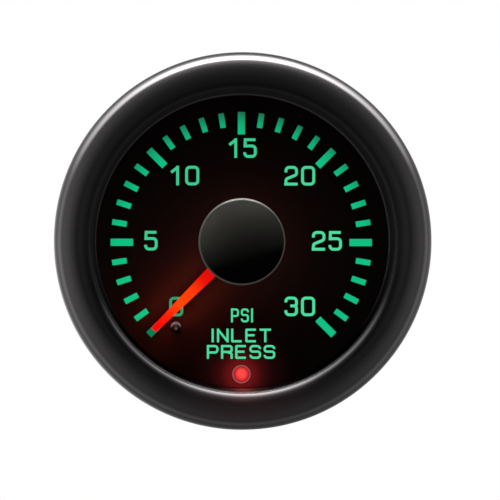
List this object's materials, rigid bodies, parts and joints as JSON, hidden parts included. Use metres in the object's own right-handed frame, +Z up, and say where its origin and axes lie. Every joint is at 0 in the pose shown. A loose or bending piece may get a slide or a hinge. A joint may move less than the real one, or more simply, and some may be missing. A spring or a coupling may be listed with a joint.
{
  "type": "boost gauge",
  "caption": "Round electric boost gauge for a dash hole: rolled black bezel, lit scale and needle, warning lamp, stepper movement, rear connector and strap clamp.",
  "frame": {"origin": "on the gauge's axis, in the plane where the bezel seats on the panel", "axes": "-Y out of the dial towards the driver, +Y back along the barrel, +Z up through the scale's middle mark, +X to the driver's right"},
  "size_m": [0.06, 0.0728, 0.06],
  "materials": {
    "bezel_black": "satin black anodised",
    "case_black": "satin",
    "clear_glass": "clear, low reflection coating",
    "black_rubber": "matte",
    "dial_black": "matte black print",
    "scale_green": "lit from behind",
    "clear_plastic": "polished clear acrylic",
    "white_plastic": "matte",
    "lamp_red": "lit red lens",
    "lamp_green": "surface-mounted lamp",
    "needle_red": "lit translucent red",
    "cap_black": "satin",
    "pin_black": "gloss",
    "steel": "zinc plated",
    "stator_steel": "satin",
    "gear_plastic": "moulded acetal",
    "magnet_grey": "bonded ferrite",
    "bobbin_cream": "matte",
    "copper_wire": "enamelled copper wire",
    "brass_parts": "turned",
    "motor_black": "matte",
    "board_green": "solder mask",
    "chip_black": "moulded package",
    "capacitor_silver": "satin",
    "pin_gold": "gold flashed",
    "cover_black": "fine texture"
  },
  "bodies": {
    "gauge_body": {"bezel": "bezel_black", "lens": "clear_glass", "lens_gasket": "black_rubber", "can": "case_black", "shadow_ring": "cover_black", "dial_plate": "dial_black", "scale_marks": "scale_green", "stop_pin": "pin_black", "light_guide": "clear_plastic", "light_housing": "white_plastic", "warning_lamp": "lamp_red", "dial_lamps": "lamp_green", "pointer_lamps": "lamp_red", "display_board": "board_green", "stator": "stator_steel", "coil_bobbins": "bobbin_cream", "coil_windings": "copper_wire", "motor_housing": "motor_black", "motor_base": "motor_black", "motor_pins": "pin_gold", "control_board": "board_green", "board_spacers": "brass_parts", "board_screws": "steel", "board_header": "pin_gold", "microcontroller": "chip_black", "power_regulator": "chip_black", "smoothing_capacitor": "capacitor_silver", "rear_cover": "cover_black", "cover_seal": "black_rubber", "cover_screws": "steel", "connector_shroud": "cover_black", "connector_pins": "pin_gold", "mounting_studs": "steel", "stud_nuts": "steel"},
    "pointer_assembly": {"pointer_needle": "needle_red", "pointer_cap": "cap_black", "pointer_hub": "needle_red", "motor_shaft": "steel", "output_gear": "gear_plastic"},
    "idler": {"idler_gear": "gear_plastic"},
    "rotor": {"rotor_pinion": "gear_plastic", "rotor_magnet": "magnet_grey"},
    "clamp": {"clamp_bracket": "steel", "clamp_washers": "steel"},
    "left_nut": {"thumb_nut_left": "brass_parts"},
    "right_nut": {"thumb_nut_right": "brass_parts"}
  },
  "joints": [
    {"name": "pointer", "type": "hinge", "parent": "gauge_body", "child": "pointer_assembly", "pos_m": [0, 0, 0], "axis": [0, 1, 0], "range_deg": [-2.2, 270]},
    {"name": "idler_spin", "type": "hinge", "parent": "gauge_body", "child": "idler", "pos_m": [0, 0.0133, 0.00768], "axis": [0, 1, 0], "continuous": true},
    {"name": "rotor_spin", "type": "hinge", "parent": "gauge_body", "child": "rotor", "pos_m": [0, 0.0165, 0.01288], "axis": [0, 1, 0], "continuous": true},
    {"name": "clamp_slide", "type": "slide", "parent": "gauge_body", "child": "clamp", "axis": [0, 1, 0], "range_m": [-0.003, 0.0125]},
    {"name": "left_nut_spin", "type": "hinge", "parent": "clamp", "child": "left_nut", "pos_m": [-0.015, 0.0525, 0], "axis": [0, 1, 0], "continuous": true},
    {"name": "right_nut_spin", "type": "hinge", "parent": "clamp", "child": "right_nut", "pos_m": [0.015, 0.0525, 0], "axis": [0, 1, 0], "continuous": true}
  ],
  "couplings": [
    {"joint": "idler_spin", "follows": "pointer", "ratio": -15},
    {"joint": "rotor_spin", "follows": "pointer", "ratio": 180},
    {"joint": "left_nut_spin", "follows": "clamp_slide", "rad_per_m": 8976},
    {"joint": "right_nut_spin", "follows": "clamp_slide", "rad_per_m": 8976}
  ]
}
